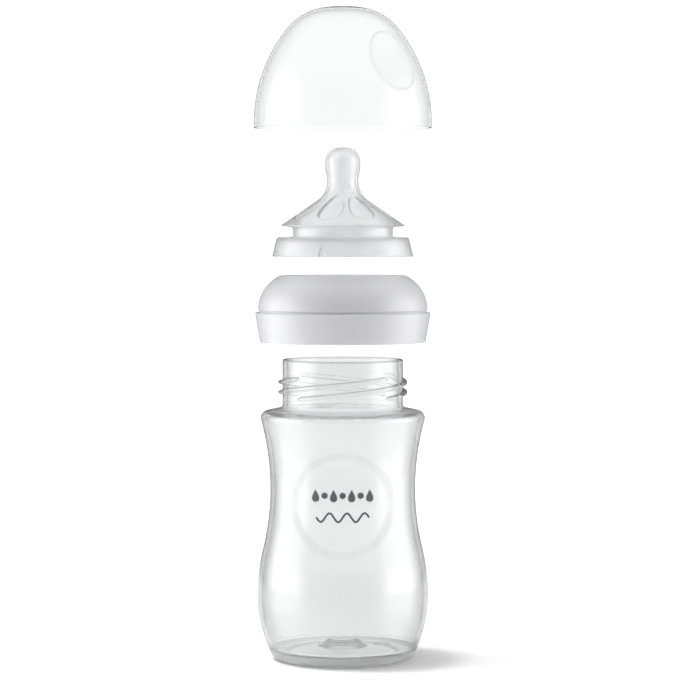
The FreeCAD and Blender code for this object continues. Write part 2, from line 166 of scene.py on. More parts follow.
BELLY = (34.5, 25.4)
WAIST = (29.25, 69.0)
LOW_CURVE, HIGH_CURVE, FLARE_CURVE = 52.0, 82.0, 104.0
FLARE_TOP = 96.6
SHOULDER_ROUND, DECK_SLOPE, DECK_FILLET = 3.0, math.radians(12.0), 1.3
NECK_RADIUS, RIM_ROUND = 24.25, 0.6
RIM_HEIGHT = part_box("bottle")[1].z / MM
WALL = 1.8
FOOT_ROUND, FOOT_WIDTH, FOOT_RECESS = 4.0, 2.6, 1.2
FLOOR_HEIGHT, FLOOR_ROUND = 4.6, 1.6
FLOOR_CROWN = 0.6  # rise of the floor from its corner to the boss
NECK_FOOT = FLARE_TOP + 5.0  # height above which the neck may carry its thread
FOOT_RAMP, FOOT_RAMP_CURVE = 3.2, 4.0  # where the recess under the base comes down to the foot
FOOT_EDGE, FOOT_EDGE_RISE = 0.6, 0.25  # the rounded inner edge of the foot
BOSS_RADIUS, BOSS_TOP_RADIUS, BOSS_HEIGHT = 8.6, 5.6, 3.4
BOSS_FILLET_REACH, BOSS_FILLET_RISE, BOSS_FILLET = 1.4, 0.7, 1.6
BOSS_ROUND_REACH, BOSS_ROUND_DROP, BOSS_ROUND = 0.9, 0.5, 1.3
GATE_RADIUS, GATE_DEPTH = 6.4, 2.2  # hollow under the boss
GATE_TOP_INSET, GATE_SIDE_INSET, GATE_CURVE = 2.2, 0.6, 1.4
GATE_BEVEL_RISE, GATE_BEVEL_REACH = 0.8, 0.4  # bevel round the hollow's mouth
INSERT_PLACE, INSERT_RADIUS = (15.8, 5.0), 2.9  # round mould insert on the floor
INSERT_RIDGE, INSERT_RIDGE_WIDTH = 0.4, 0.45

THREAD_LEAD, STARTS = 16.0, 4
RIB_START, RIB_TURN = 105.8, math.pi
RIB_WIDTH, RIB_DEPTH = 1.7, 1.75
RIB_END = 0.04  # angle from the end of a rib's turn to the middle of its round end
RIB_FULLNESS, RIB_FLANK = 3.2, 0.62  # powers that shape a rib's section
RIB_FILLET, RIB_FILLET_REACH = 0.22, (1.5, 0.9)  # its height and its reach in half widths
RIB_SHADE_WIDTH = 0.2  # width of the painted shade along a rib's edge, in half widths
RIB_SHADE_RISE = (-0.2, 0.3)  # heights over a rib's middle between which its painted shade sets in
FIRST_RIB = math.radians(45.0)  # azimuth from the front where a rib starts

RECESS_HEIGHT, RECESS_FLAT, RECESS_EDGE, RECESS_DEPTH = 64.6, 17.6, 21.6, 0.8
RIB_SHADE, RECESS_SHADE, RIM_SHADE = 0.55, 0.12, 0.3  # how much painted shade darkens the plastic at the ribs' edges, the recess bevel and the rim
RIM_BAND = (1.0, 0.3)  # depths below the rim between which its painted shade sets in


def side_corner(inset, floor, round_radius):
    """Where a rounded corner leaves the floor and where it meets the low side."""
    rise = BELLY[1] - floor - round_radius
    reach = LOW_CURVE - inset - round_radius
    run = math.sqrt(reach**2 - rise**2)
    share = (LOW_CURVE - inset) / reach
    centre = BELLY[0] - LOW_CURVE
    return (centre + run, floor), (centre + run * share, BELLY[1] - rise * share)


def wall_corners(inset):
    """The bottle's wall from the belly over waist, shoulder and deck to the foot of the neck, set in
    by inset."""
    run, rise = BELLY[0] - WAIST[0], WAIST[1] - BELLY[1]
    waist_curve = (rise**2 + run**2) / (2 * run) - HIGH_CURVE
    share = HIGH_CURVE / (HIGH_CURVE + waist_curve)
    bend = (BELLY[0] - share * run, BELLY[1] + share * rise)
    inward = ((WAIST[0] + waist_curve - bend[0]) / waist_curve, (WAIST[1] - bend[1]) / waist_curve)
    lean = math.asin((FLARE_TOP - WAIST[1]) / FLARE_CURVE)
    flare_radius = WAIST[0] + FLARE_CURVE * (1 - math.cos(lean))
    centre = (
        flare_radius - SHOULDER_ROUND * math.cos(lean),
        FLARE_TOP + SHOULDER_ROUND * math.sin(lean),
    )
    fillet_radius = NECK_RADIUS + DECK_FILLET
    fillet_height = centre[1] + (
        SHOULDER_ROUND + DECK_FILLET - (fillet_radius - centre[0]) * math.sin(DECK_SLOPE)
    ) / math.cos(DECK_SLOPE)
    reach = DECK_FILLET + inset
    deck = SHOULDER_ROUND - inset
    return [
        (BELLY[0] - inset, BELLY[1], HIGH_CURVE - inset, "left"),
        (bend[0] - inset * inward[0], bend[1] - inset * inward[1], waist_curve + inset, "right"),
        (WAIST[0] - inset, WAIST[1], FLARE_CURVE + inset, "right"),
        (
            flare_radius - inset * math.cos(lean),
            FLARE_TOP + inset * math.sin(lean),
            SHOULDER_ROUND - inset,
            "left",
        ),
        (centre[0] + deck * math.sin(DECK_SLOPE), centre[1] + deck * math.cos(DECK_SLOPE)),
        (
            fillet_radius - reach * math.sin(DECK_SLOPE),
            fillet_height - reach * math.cos(DECK_SLOPE),
            reach,
            "right",
        ),
        (NECK_RADIUS - inset, fillet_height),
    ]


def bottle_outline():
    """The bottle's skin, from the middle of its underside up the outside, over the rim and down the
    inside to the top of the boss."""
    foot, side = side_corner(0, 0, FOOT_ROUND)
    floor, inner_side = side_corner(WALL, FLOOR_HEIGHT, FLOOR_ROUND)
    outer_wall, inner_wall = wall_corners(0), wall_corners(WALL)
    under = trace(
        [
            (0, FOOT_RECESS + GATE_DEPTH),
            (GATE_RADIUS - GATE_TOP_INSET, FOOT_RECESS + GATE_DEPTH, GATE_CURVE, "right"),
            (GATE_RADIUS - GATE_SIDE_INSET, FOOT_RECESS + GATE_BEVEL_RISE),
            (GATE_RADIUS + GATE_BEVEL_REACH, FOOT_RECESS),
            (foot[0] - FOOT_WIDTH - FOOT_RAMP, FOOT_RECESS, FOOT_RAMP_CURVE, "right"),
            (foot[0] - FOOT_WIDTH - FOOT_EDGE, FOOT_EDGE_RISE, FOOT_EDGE, "left"),
            (foot[0] - FOOT_WIDTH, 0),
            (*foot, FOOT_ROUND, "left"),
            (*side, LOW_CURVE, "left"),
            outer_wall[0][:2],
        ],
        step=0.5,
    )
    outside = trace(outer_wall, step=0.6)
    neck = trace([outer_wall[-1], (NECK_RADIUS, RIM_HEIGHT - RIM_ROUND)], step=0.11)
    rim = trace(
        [
            (NECK_RADIUS, RIM_HEIGHT - RIM_ROUND, RIM_ROUND, "left"),
            (NECK_RADIUS - RIM_ROUND, RIM_HEIGHT),
            (NECK_RADIUS - WALL + RIM_ROUND, RIM_HEIGHT, RIM_ROUND, "left"),
            (NECK_RADIUS - WALL, RIM_HEIGHT - RIM_ROUND),
        ],
        step=0.12,
    )
    inside = trace(
        backwards(
            [
                (*floor, FLOOR_ROUND, "left"),
                (*inner_side, LOW_CURVE - WALL, "left"),
                *inner_wall,
                (NECK_RADIUS - WALL, RIM_HEIGHT - RIM_ROUND),
            ]
        ),
        step=0.7,
    )
    boss_top = FLOOR_HEIGHT + BOSS_HEIGHT
    base = trace(
        [
            floor,
            (BOSS_RADIUS + BOSS_FILLET_REACH, FLOOR_HEIGHT + FLOOR_CROWN, BOSS_FILLET, "left"),
            (BOSS_RADIUS, FLOOR_HEIGHT + FLOOR_CROWN + BOSS_FILLET_RISE),
            (BOSS_TOP_RADIUS + BOSS_ROUND_REACH, boss_top - BOSS_ROUND_DROP, BOSS_ROUND, "left"),
            (BOSS_TOP_RADIUS, boss_top),
            (0, boss_top),
        ],
        step=0.35,
    )
    return np.concatenate([under[:-1], outside[:-1], neck[:-1], rim[:-1], inside[:-1], base])


def rib_lift(height, around):
    """How far the four thread ribs stand off the neck at each point, and the painted shade over each rib.
    """
    half = RIB_WIDTH / 2
    lift = np.zeros_like(height)
    crease_shade = np.zeros_like(height)
    for start in range(STARTS):
        along = (around - FIRST_RIB - start * 2 * math.pi / STARTS) % (2 * math.pi)
        along = np.where(along > RIB_TURN + (2 * math.pi - RIB_TURN) / 2, along - 2 * math.pi, along)
        held = np.clip(along, RIB_END, RIB_TURN - RIB_END)
        rise = height - RIB_START - THREAD_LEAD * held / (2 * math.pi)
        away = np.hypot(rise, (along - held) * NECK_RADIUS) / half
        crest = RIB_DEPTH * (1 - np.clip(away, 0, 1) ** RIB_FULLNESS) ** RIB_FLANK
        fillet = RIB_FILLET * smooth_step(*RIB_FILLET_REACH, away)
        lift = np.maximum(lift, np.maximum(crest, fillet))
        over = np.exp(-(((away - 1) / RIB_SHADE_WIDTH) ** 2)) * smooth_step(*RIB_SHADE_RISE, rise)
        crease_shade = np.maximum(crease_shade, RIB_SHADE * over)
    return lift, crease_shade


def recess_press(radius, height, around):
    """Depth of the round recess at each point of the side, and the painted shade of its bevel."""
    off = np.hypot(radius * np.sin(around), height - RECESS_HEIGHT)
    bevel = np.clip((off - RECESS_FLAT) / (RECESS_EDGE - RECESS_FLAT), 0, 1)
    pressed = RECESS_DEPTH * smooth_step(RECESS_EDGE, RECESS_FLAT, off)
    return pressed, RECESS_SHADE * 4 * bevel * (1 - bevel)


def insert_ridge(radius, around):
    """Height of the ridge round the mould insert at each point of the floor."""
    aside = radius * np.sin(around) - INSERT_PLACE[0]
    back = -radius * np.cos(around) - INSERT_PLACE[1]
    off = np.hypot(aside, back) - INSERT_RADIUS
    return INSERT_RIDGE * np.exp(-((off / INSERT_RIDGE_WIDTH) ** 2))


def bottle_shape(radius, height, around):
    """Adds the thread and the mould insert's ridge and presses the round recess into the front."""
    shade_low, shade_full = RIM_HEIGHT - RIM_BAND[0], RIM_HEIGHT - RIM_BAND[1]
    on_neck = (radius > NECK_RADIUS - SLACK) & (height > NECK_FOOT) & (height < shade_low)
    ribs, crease_shade = rib_lift(height, around)
    radius = radius + np.where(on_neck, ribs, 0)
    outer_wall = np.interp(height, *OUTER_WALL)
    on_side = (radius > outer_wall - SLACK) & (np.cos(around) > 0) & (height < FLARE_TOP)
    pressed, bevel_shade = recess_press(radius, height, around)
    floor_low, floor_high = FLOOR_HEIGHT - SLACK, FLOOR_HEIGHT + FLOOR_CROWN
    on_floor = (height > floor_low) & (height < floor_high) & (radius < NECK_RADIUS)
    ridge = insert_ridge(radius, around)
    # Painted shade: the ribs' edges, the recess bevel and a band under the rim darken the plastic's
    # colour.
    shade = np.where(on_neck, crease_shade, 0) + np.where(on_side, bevel_shade, 0)
    shade = shade + RIM_SHADE * smooth_step(shade_low, shade_full, height)
    return radius - np.where(on_side, pressed, 0), height + np.where(on_floor, ridge, 0), around, shade


side_trace = trace(wall_corners(0)[:4], step=0.5)
OUTER_WALL = (side_trace[:, 1], side_trace[:, 0])


# ---------------------------------------------------------------- teat

SKIRT_RADIUS, SKIRT_WALL = 28.3, 1.1
SKIRT_INNER_ROUND, SKIRT_OUTER_ROUND = 0.3, 0.4
FLANGE_RADIUS, FLANGE_HEIGHT, FLANGE_THICKNESS = 26.5, 7.8, 1.6
FLANGE_ROUND = 1.1
FLANGE_ROUND_OUT, FLANGE_ROUND_DROP = 0.25, 0.12  # how far the round's ends lie off the plain corner
UNDER_FLANGE_ROUND, INNER_GROOVE_ROUND = 0.6, 0.5
GROOVE_RADIUS, GROOVE_HEIGHT, GROOVE_FOOT, GROOVE_ROUND = 20.1, 4.1, 0.4, 0.9
DISC_RADIUS, DISC_EDGE, DISC_SLOPE = 24.8, 0.65, math.radians(31.7)
GROOVE_TOP = FLANGE_HEIGHT + GROOVE_HEIGHT
DISC_HEIGHT = GROOVE_TOP + DISC_EDGE
DISC_REACH, DISC_ROUND = 0.5, 0.35  # the soft turn under the disc's edge
SLOPE_SINE, SLOPE_COSINE = math.sin(DISC_SLOPE), math.cos(DISC_SLOPE)
AREOLA_CURVE = 10.0
NIPPLE_WAIST = (6.25, 30.5)
AREOLA_CENTRE = NIPPLE_WAIST[0] + AREOLA_CURVE
BULB = (7.06, 36.8)
TIP_ROUND = 5.6
HOLE_TOP_RADIUS, HOLE_RADIUS, HOLE_EDGE, HOLE_DEPTH = 0.5, 0.35, 0.35, 0.45  # the flow hole's dimple
TEAT_WALL = 1.5
TEAT_BASE, TEAT_TOP = (corner.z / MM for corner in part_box("teat"))
TEAT_HEIGHT = TEAT_TOP - TEAT_BASE

PETALS = 8
PETAL_AZIMUTH = math.radians(-17.5)  # azimuth of one petal's broad end
PETAL_SWIRL = math.radians(15.0)  # how far a petal turns on its way up
PETAL_LOW, PETAL_TOP = 17.5, 28.8  # heights of its broad end and of its tail
# PETAL_SHADE is how dark the painted shade round a petal gets.
PETAL_HALF_WIDTH, PETAL_DEPTH, PETAL_SHADE = 5.0, 0.95, 0.5
PETAL_FULL = 2.5  # half width from which a petal is pressed to its full depth
PETAL_SIDE = 0.7  # width of its steep side
PETAL_FLAT, PETAL_BOWL = 0.65, 0.35  # shares of the depth that a flat floor and a bowl give
PETAL_TILT = 0.25  # how much deeper than its middle its left side is
PETAL_TAIL, TAIL_HALF_WIDTH, TAIL_LEAN = 0.62, 0.45, 3.2  # where the tail starts, its size and lean
PETAL_NARROWING, PETAL_ROUNDING = 1.8, 0.8  # powers that draw the broad end into the tail
PETAL_FADE, CREASE_SHADE_FADE = (1.0, 0.7), (0.8, 0.4)  # stretch of the way up over which the press and its painted shade die out
CREASE_SHADE_PLACE, CREASE_SHADE_WIDTH = 0.98, 0.4  # share of the half width at which the painted shade lies, and its width
RIGHT_CREASE_SHADE = 0.45  # how dark the painted shade on the right side is against the left's
PRESS_IN, PRESS_DOWN = 0.6, 0.8  # the way a petal is pressed

# VENT_SHADE is how dark the painted shade at the vent's left side gets.
VENT_AZIMUTH, VENT_HEIGHT, VENT_DEPTH, VENT_SHADE = math.radians(-17.2), 4.6, 0.6, 0.35
VENT_LOW_HALF, VENT_TOP_HALF = 1.7, 0.3  # its half widths at the skirt's edge and at its top
VENT_SIDE = 0.7  # share of its half width that is pressed to the full depth
VENT_REACH = 2.1  # how far in from the skirt's edge the press reaches
VENT_SHADE_PLACE, VENT_SHADE_WIDTH = -0.8, 0.25  # place and width of the painted shade at the vent's left, in half widths


def areola_corners():
    """The teat's outer face from the disc's edge over the areola to the bulb."""
    swell, rise = BULB[0] - NIPPLE_WAIST[0], BULB[1] - NIPPLE_WAIST[1]
    swell_sum = (rise**2 + swell**2) / (2 * swell)
    share = AREOLA_CURVE / swell_sum
    swell_bend = (NIPPLE_WAIST[0] + share * swell, NIPPLE_WAIST[1] + share * rise)
    slope_top = (
        AREOLA_CENTRE - AREOLA_CURVE * SLOPE_SINE,
        NIPPLE_WAIST[1] - AREOLA_CURVE * SLOPE_COSINE,
    )
    return [
        (DISC_RADIUS, DISC_HEIGHT),
        (*slope_top, AREOLA_CURVE, "right"),
        (*NIPPLE_WAIST, AREOLA_CURVE, "right"),
        (*swell_bend, swell_sum - AREOLA_CURVE, "left"),
        BULB,
    ]


def teat_outline():
    """The teat's skin, from the hollow's top down inside, round the skirt and flange, over the areola
    to the tip."""
    deep = AREOLA_CURVE + TEAT_WALL
    flange_low = FLANGE_HEIGHT - FLANGE_THICKNESS
    flange_turn = FLANGE_RADIUS + FLANGE_ROUND_OUT
    inner_skirt = SKIRT_RADIUS - SKIRT_WALL
    inner_flange = FLANGE_RADIUS - SKIRT_WALL
    inner_groove = GROOVE_RADIUS - TEAT_WALL
    inner_slope = (AREOLA_CENTRE - deep * SLOPE_SINE, NIPPLE_WAIST[1] - deep * SLOPE_COSINE)
    inner_drop = (inner_groove - inner_slope[0]) * SLOPE_SINE / SLOPE_COSINE
    skin = trace(
        [
            (0, TEAT_HEIGHT - TEAT_WALL),
            (BULB[0] - TIP_ROUND, TEAT_HEIGHT - TEAT_WALL, TIP_ROUND - TEAT_WALL, "right"),
            (BULB[0] - TEAT_WALL, TEAT_HEIGHT - TIP_ROUND),
            (NIPPLE_WAIST[0] - TEAT_WALL, NIPPLE_WAIST[1], deep, "left"),
            inner_slope,
            (inner_groove, inner_slope[1] - inner_drop),
            (inner_groove, flange_low + INNER_GROOVE_ROUND, INNER_GROOVE_ROUND, "left"),
            (inner_groove + INNER_GROOVE_ROUND, flange_low),
            (inner_flange - UNDER_FLANGE_ROUND, flange_low, UNDER_FLANGE_ROUND, "right"),
            (inner_flange, flange_low - UNDER_FLANGE_ROUND),
            (inner_skirt, SKIRT_INNER_ROUND, SKIRT_INNER_ROUND, "left"),
            (inner_skirt + SKIRT_INNER_ROUND, 0),
            (SKIRT_RADIUS - SKIRT_OUTER_ROUND, 0, SKIRT_OUTER_ROUND, "left"),
            (SKIRT_RADIUS, SKIRT_OUTER_ROUND),
            (flange_turn, FLANGE_HEIGHT - FLANGE_ROUND, FLANGE_ROUND, "left"),
            (flange_turn - FLANGE_ROUND, FLANGE_HEIGHT - FLANGE_ROUND_DROP),
            (GROOVE_RADIUS + GROOVE_FOOT, FLANGE_HEIGHT, GROOVE_FOOT, "right"),
            (GROOVE_RADIUS, FLANGE_HEIGHT + GROOVE_FOOT),
            (GROOVE_RADIUS, GROOVE_TOP - GROOVE_ROUND, GROOVE_ROUND, "right"),
            (GROOVE_RADIUS + GROOVE_ROUND, GROOVE_TOP),
            (DISC_RADIUS - DISC_REACH, DISC_HEIGHT - DISC_ROUND, DISC_ROUND, "left"),
            (DISC_RADIUS, DISC_HEIGHT),
        ],
        step=0.3,
    )
    areola = trace(
        [
            *areola_corners(),
            (BULB[0], TEAT_HEIGHT - TIP_ROUND, TIP_ROUND, "left"),
            (BULB[0] - TIP_ROUND, TEAT_HEIGHT),
            (HOLE_TOP_RADIUS, TEAT_HEIGHT),
            (HOLE_RADIUS, TEAT_HEIGHT - HOLE_EDGE),
            (0, TEAT_HEIGHT - HOLE_DEPTH),
        ],
        step=0.14,
    )
    return np.concatenate([skin[:-1], areola])


def petal_press(radius, height, around):
    """Depth of the teardrop petals pressed into the areola, each deepest along its left side, and the
    painted shade round each."""
    travel = np.clip((height - PETAL_LOW) / (PETAL_TOP - PETAL_LOW), 0, 1)
    middle = PETAL_AZIMUTH + PETAL_SWIRL * travel
    spacing = 2 * math.pi / PETALS
    off = (around - middle + spacing / 2) % spacing - spacing / 2
    narrowed = np.clip(travel / PETAL_TAIL, 0, 1) ** PETAL_NARROWING
    broad = (PETAL_HALF_WIDTH - TAIL_HALF_WIDTH) * (1 - narrowed) ** PETAL_ROUNDING
    half = broad + TAIL_HALF_WIDTH
    across = (off * radius + TAIL_LEAN * travel * (1 - travel)) / half
    below = np.clip((PETAL_LOW - height) / SLOPE_SINE, 0, None) / half
    away = np.hypot(across, below)
    side = np.clip(1 - PETAL_SIDE / half, 0, None)
    hollow = PETAL_FLAT * smooth_step(1.0, side, away) + PETAL_BOWL * np.clip(1 - away**2, 0, 1)
    tilt = 1 - PETAL_TILT * np.clip(across, -1, 1)
    deep = PETAL_DEPTH * np.clip(half / PETAL_FULL, 0, 1) * smooth_step(*PETAL_FADE, travel)
    crease_shade = np.exp(-(((away - CREASE_SHADE_PLACE) * half / CREASE_SHADE_WIDTH) ** 2))
    crease_shade = crease_shade * np.where(across < 0, 1, RIGHT_CREASE_SHADE) * smooth_step(*CREASE_SHADE_FADE, travel)
    return deep * hollow * tilt, PETAL_SHADE * crease_shade


def vent_press(height, around):
    """Depth of the vent, a wedge in the skirt that widens to its edge, and the painted shade at its left.
    """
    sideways = wrapped(around - VENT_AZIMUTH) * SKIRT_RADIUS
    half = VENT_LOW_HALF + (VENT_TOP_HALF - VENT_LOW_HALF) * np.clip(height / VENT_HEIGHT, 0, 1)
    low = height < VENT_HEIGHT
    share = sideways / half
    crease_shade = VENT_SHADE * np.exp(-(((share - VENT_SHADE_PLACE) / VENT_SHADE_WIDTH) ** 2))
    return VENT_DEPTH * smooth_step(1.0, VENT_SIDE, np.abs(share)) * low, crease_shade * low


def teat_shape(radius, height, around):
    """Presses the petals in, notches the vent into the skirt and gives both their painted shade."""
    outer_face = np.interp(height, *AREOLA)
    on_areola = (height > DISC_HEIGHT) & (radius > outer_face - SLACK)
    press, crease_shade = petal_press(radius, height, around)
    pressed = np.where(on_areola, press, 0)
    on_skirt = (radius > SKIRT_RADIUS - VENT_REACH) & (height < FLANGE_HEIGHT - FLANGE_ROUND)
    vent, vent_crease_shade = vent_press(height, around)
    vent = np.where(on_skirt, vent, 0)
    shade = np.where(on_areola, crease_shade, 0) + np.where(on_skirt, vent_crease_shade, 0)
    return radius - PRESS_IN * pressed - vent, height - PRESS_DOWN * pressed, around, shade


areola_trace = trace(areola_corners(), step=0.14)
AREOLA = (areola_trace[:, 1], areola_trace[:, 0])


# ---------------------------------------------------------------- dome cap

CAP_BASE, CAP_TOP = (corner.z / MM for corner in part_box("dome_cap"))
CAP_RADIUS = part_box("dome_cap")[1].x / MM
CAP_HEIGHT = CAP_TOP - CAP_BASE
CAP_WALL, CAP_STRAIGHT, CAP_RIM_ROUND = 1.0, 2.0, 0.4
CAP_SIDE_CURVE, CAP_CROWN_CURVE = 60.0, 22.0
DIMPLE_HEIGHT, DIMPLE_AZIMUTH = 26.5, math.radians(43.0)
DIMPLE_CURVE, DIMPLE_DEPTH, DIMPLE_BLEND = 60.0, 2.7, 0.25
DIMPLE_LOW = (8.0, 10.0)  # heights between which the dimple sets in
DIMPLE_SHADE, DIMPLE_INSIDE_SHADE, INSIDE_SHADE_EDGE = 0.15, 0.25, 0.5  # painted shade of its outline, the share of it inside, the step between
LEAST_PUSH = 0.02  # a smaller push is left out


def cap_corners(inset):
    """The dome from above its rim to the axis, set in by inset."""
    side_centre = CAP_RADIUS - CAP_SIDE_CURVE
    rise = CAP_HEIGHT - CAP_CROWN_CURVE - CAP_STRAIGHT
    run = math.sqrt((CAP_SIDE_CURVE - CAP_CROWN_CURVE) ** 2 - rise**2)
    share = (CAP_SIDE_CURVE - inset) / (CAP_SIDE_CURVE - CAP_CROWN_CURVE)
    return [
        (CAP_RADIUS - inset, CAP_RIM_ROUND),
        (CAP_RADIUS - inset, CAP_STRAIGHT, CAP_SIDE_CURVE - inset, "left"),
        (side_centre + run * share, CAP_STRAIGHT + rise * share, CAP_CROWN_CURVE - inset, "left"),
        (side_centre + run, CAP_HEIGHT - inset),
        (0, CAP_HEIGHT - inset),
    ]


def cap_outline():
    """The cap's skin, from its crown down inside, round the rim and up outside."""
    inside = trace(backwards(cap_corners(CAP_WALL)), step=0.3)
    rim = trace(
        [
            (CAP_RADIUS - CAP_WALL, CAP_RIM_ROUND, CAP_RIM_ROUND, "left"),
            (CAP_RADIUS - CAP_WALL + CAP_RIM_ROUND, 0),
            (CAP_RADIUS - CAP_RIM_ROUND, 0, CAP_RIM_ROUND, "left"),
            (CAP_RADIUS, CAP_RIM_ROUND),
        ],
        step=0.12,
    )
    outside = trace(cap_corners(0), step=0.2)
    return np.concatenate([inside[:-1], rim[:-1], outside])


def dimple_ball():
    """Centre of the ball that presses the finger dimple in."""
    rise = DIMPLE_HEIGHT - CAP_STRAIGHT
    run = math.sqrt(CAP_SIDE_CURVE**2 - rise**2)
    off = (CAP_SIDE_CURVE + DIMPLE_CURVE - DIMPLE_DEPTH) / CAP_SIDE_CURVE
    reach = CAP_RADIUS - CAP_SIDE_CURVE + run * off
    return np.array(
        [reach * math.sin(DIMPLE_AZIMUTH), -reach * math.cos(DIMPLE_AZIMUTH), CAP_STRAIGHT + rise * off]
    )


def cap_shape(radius, height, around):
    """Pushes the wall out of the dimple ball, softly at its edge, and paints shade on its outline and
    inside.
    """
    ball = dimple_ball()
    point = np.stack([radius * np.sin(around), -radius * np.cos(around), height], axis=2)
    away = point - ball
    distance = np.linalg.norm(away, axis=2)
    is_inside = radius < np.interp(height, *CAP_SIDE) - CAP_WALL / 2
    limit = DIMPLE_CURVE + np.where(is_inside, CAP_WALL, 0)
    gap = limit - distance
    push = (gap + np.sqrt(gap**2 + DIMPLE_BLEND**2)) / 2
    push = np.where(push > LEAST_PUSH, push, 0) * smooth_step(*DIMPLE_LOW, height)
    moved = point + away / distance[..., None] * push[..., None]
    flat = np.hypot(moved[..., 0], moved[..., 1])
    # Painted shade: a dark line on the dimple's outline and a lighter grey over its inside.
    outline = np.exp(-((gap / DIMPLE_BLEND) ** 2))
    shade = DIMPLE_SHADE * (outline + DIMPLE_INSIDE_SHADE * smooth_step(0, INSIDE_SHADE_EDGE, gap))
    return flat, moved[..., 2], np.arctan2(moved[..., 0], -moved[..., 1]), shade


cap_side = trace(cap_corners(0), step=0.5)
CAP_SIDE = (cap_side[:, 1], cap_side[:, 0])


# ---------------------------------------------------------------- printed mark

INK_THICKNESS, INK_CLEARANCE = 0.06, 0.02
ROW_RISE, ROW_PITCH, SPOTS_EACH_SIDE = 3.9, 3.55, 3
DROP_WIDTH, DROP_HEIGHT, DROP_HEART = 3.3, 5.0, 0.6  # DROP_HEART is how low a drop's middle sits
DROP_WAIST, DROP_FULLNESS = 1.5, 1.25
DOT_WIDTH = 2.5
WAVE_DROP, WAVE_REACH, WAVE_HEIGHT, WAVE_LENGTH, WAVE_WIDTH = 4.7, 10.4, 1.7, 6.9, 0.8
WAVE_POINTS = 121


def recess_surface(x, z):
    """The recess floor's point at width x and height z."""
    radius = np.interp(z, *OUTER_WALL) - RECESS_DEPTH
    return np.stack([x, -np.sqrt(radius**2 - x**2), z], axis=-1)


def stand_ink(flat, stand_off):
    """Flat points laid on the recess floor, off it by stand_off."""
    surface = recess_surface(flat[:, 0], flat[:, 1])
    outward = surface * [1, 1, 0] / np.hypot(surface[:, 0], surface[:, 1])[:, None]
    return surface + outward * stand_off


def ink_shape(boundary, centre, rings=6):
    """A closed thin patch of ink over a flat outline that its centre sees whole."""
    count = len(boundary)
    vertices, faces = [], []
    for stand_off in (INK_CLEARANCE, INK_CLEARANCE + INK_THICKNESS):
        base = len(vertices)
        for ring in range(1, rings + 1):
            flat = centre + (boundary - centre) * ring / rings
            vertices.extend(stand_ink(flat, stand_off).tolist())
        vertices.extend(stand_ink(centre[None, :], stand_off).tolist())
        pole = base + rings * count
        for ring in range(rings - 1):
            for step in range(count):
                after = (step + 1) % count
                low, high = base + ring * count, base + (ring + 1) * count
                faces.append((low + step, low + after, high + after, high + step))
        for step in range(count):
            faces.append((pole, base + step, base + (step + 1) % count))
    edge = (rings - 1) * count
    top = rings * count + 1 + edge
    for step in range(count):
        after = (step + 1) % count
        faces.append((edge + step, edge + after, top + after, top + step))
    return vertices, faces


def disc(centre, width, steps=32):
    """Outline of a round dot."""
    angles = np.linspace(0, 2 * math.pi, steps, endpoint=False)
    return width / 2 * np.stack([np.cos(angles), np.sin(angles)], axis=1) + centre


def drop(centre, width, height, steps=40):
    """Outline of a milk drop, round below and pointed above."""
    angles = np.linspace(0, 2 * math.pi, steps, endpoint=False)
    across = width / 2 * np.sin(angles) * np.sin(angles / 2) ** DROP_WAIST * DROP_FULLNESS
    up = height / 2 * np.cos(angles)
    return np.stack([across, up], axis=1) + centre


def ink_stroke(path, width):
    """A closed thin ribbon of ink along a path."""
    ahead = np.gradient(path, axis=0)
    aside = np.stack([-ahead[:, 1], ahead[:, 0]], axis=1) / np.hypot(*ahead.T)[:, None] * width / 2
    sides = [path + aside, path - aside]
    vertices = []
    for stand_off in (INK_CLEARANCE, INK_CLEARANCE + INK_THICKNESS):
        for side in sides:
            vertices.extend(stand_ink(side, stand_off).tolist())
    count = len(path)
    around = (0, count, 3 * count, 2 * count)
    faces = [around, tuple(start + count - 1 for start in around)]
    for step in range(count - 1):
        for first, second in zip(around, around[1:] + around[:1]):
            faces.append((first + step, first + step + 1, second + step + 1, second + step))
    return vertices, faces


def print_mark():
    """A generic mark: a row of milk drops and dots over a thin wave."""
    patches = []
    for number in range(-SPOTS_EACH_SIDE, SPOTS_EACH_SIDE + 1):
        spot = np.array([number * ROW_PITCH, RECESS_HEIGHT + ROW_RISE])
        if number % 2:
            patches.append(ink_shape(drop(spot, DROP_WIDTH, DROP_HEIGHT), spot - [0, DROP_HEART]))
        else:
            patches.append(ink_shape(disc(spot, DOT_WIDTH), spot))
    across = np.linspace(-WAVE_REACH, WAVE_REACH, WAVE_POINTS)
    swing = WAVE_HEIGHT * np.sin(across * 2 * math.pi / WAVE_LENGTH)
    path = np.stack([across, RECESS_HEIGHT - WAVE_DROP + swing], axis=1)
    patches.append(ink_stroke(path, WAVE_WIDTH))
    vertices, faces = [], []
    for points, corners in patches:
        base = len(vertices)
        vertices += points
        faces += [tuple(base + corner for corner in face) for face in corners]
    return new_piece("printed_mark", vertices, faces, sharp=30.0)


# ---------------------------------------------------------------- materials

WHITE, BLACK = (1, 1, 1), (0, 0, 0)
NOISE_SPREAD = (0.3, 0.7)  # where a noise texture's values mostly lie
# how fast the painted edge shade grows as a surface turns away from the eye
EDGE_SHADE_POWER = 4.5
CLEAR_COLOUR, MILK_COLOUR = (0.99, 0.993, 0.995), (0.95, 0.953, 0.957)
FOOT_FADE = (4.8, 3.6)  # heights between which the thick foot sets in
FOOT_HAZE = 0.7
SHADOW_FADE = (14.0, 36.0)  # heights between which the bottle's shadow thins out


def new_material(name):
    material = bpy.data.materials.new(name)
    material.use_nodes = True
    tree = material.node_tree
    shader = tree.nodes["Principled BSDF"]
    return material, tree, shader


def object_place(tree):
    """The point being shaded, in the object's own frame."""
    return tree.nodes.new("ShaderNodeTexCoord").outputs["Object"]


